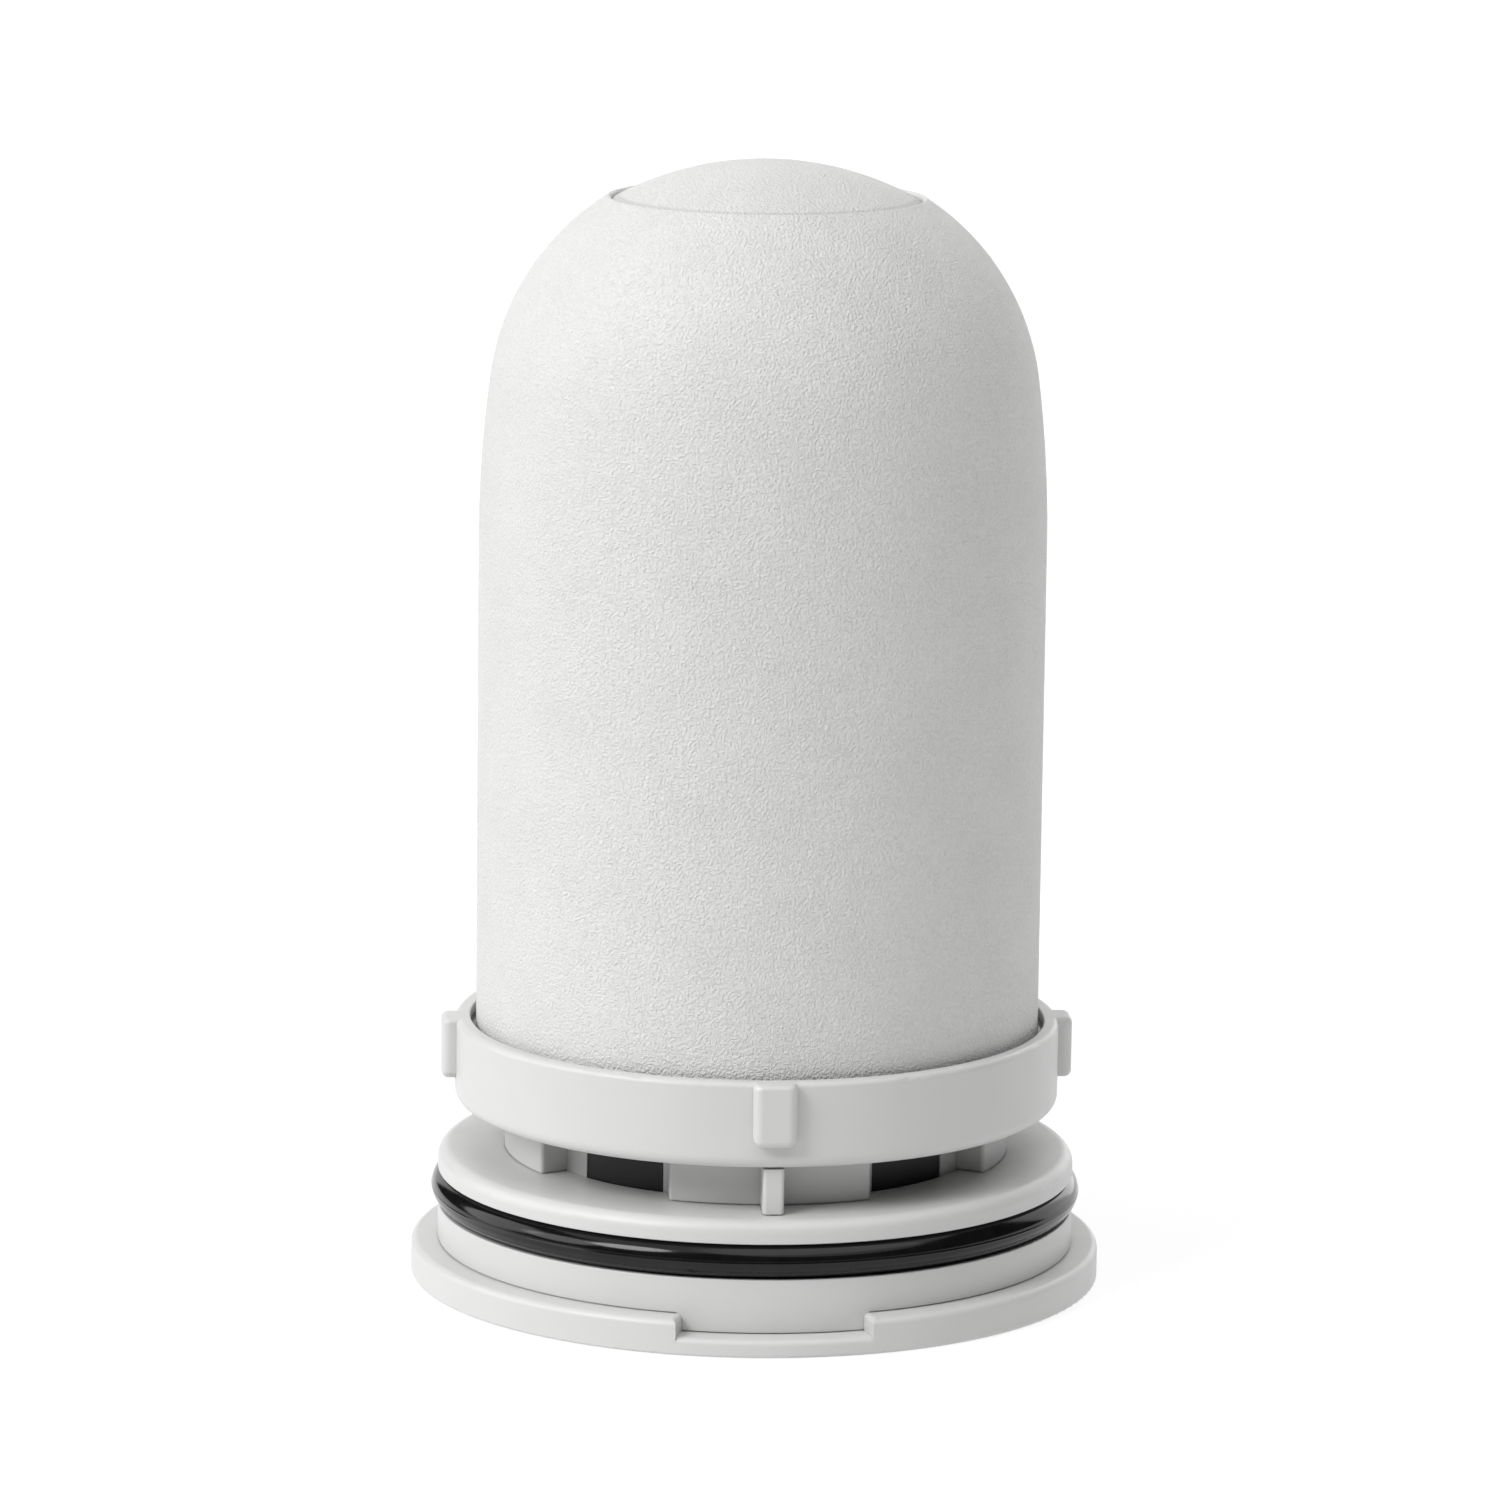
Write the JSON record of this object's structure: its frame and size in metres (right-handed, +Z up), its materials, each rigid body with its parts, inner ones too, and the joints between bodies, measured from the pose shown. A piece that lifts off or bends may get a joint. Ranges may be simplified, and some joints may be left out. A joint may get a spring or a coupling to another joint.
{
  "type": "pump water filter cartridge",
  "caption": "Water filter cartridge with a porous ceramic dome on a twist-lock collar and a keyed O-ring plug base.",
  "frame": {"origin": "centre of the base flange's underside, which the cartridge stands on", "axes": "+Z up the cartridge's axis towards the dome; -Y is the front, with a key notch, an alignment fin and a grip rib; +X is to the right seen from the front"},
  "size_m": [0.06, 0.06, 0.0973],
  "materials": {
    "white_plastic": "smooth satin moulded ABS, slightly cool off-white",
    "black_rubber": "smooth moulded black rubber with a soft gloss",
    "dome_ceramic": "fine-pored unglazed white ceramic with a pebbled skin",
    "black_plastic": "semi-gloss black moulded plastic",
    "carbon": "sintered activated carbon, matte and granular",
    "nonwoven": "thermally bonded white non-woven fleece",
    "natural_plastic": "natural translucent-white polypropylene",
    "steel_mesh": "perforated stainless steel foil",
    "bond": "cured off-white potting resin",
    "silicone": "soft white silicone"
  },
  "bodies": {
    "base": {"base_plug": "white_plastic", "plug_o_ring": "black_rubber", "neck_cage": "white_plastic", "face_seal_ring": "black_rubber", "outlet_washer": "black_rubber", "outlet_screen": "steel_mesh", "screen_retainer": "natural_plastic", "canister_cup": "black_plastic", "canister_o_ring": "black_rubber", "spigot_o_rings": "black_rubber", "block_end_seals": "bond", "carbon_block": "carbon", "carbon_wrap": "nonwoven", "canister_net": "natural_plastic", "core_tube": "natural_plastic", "canister_top": "black_plastic", "top_bumper": "silicone"},
    "cover": {"locking_collar": "white_plastic", "foot_bond": "bond", "foot_gasket": "black_rubber", "dome_shell": "dome_ceramic", "cap_bond": "bond", "dome_cap": "dome_ceramic"}
  },
  "joints": [
    {"name": "cover_twist", "type": "hinge", "parent": "base", "child": "cover", "pos_m": [0, 0, 0.017], "axis": [0, 0, 1], "range_deg": [0, 45]}
  ]
}
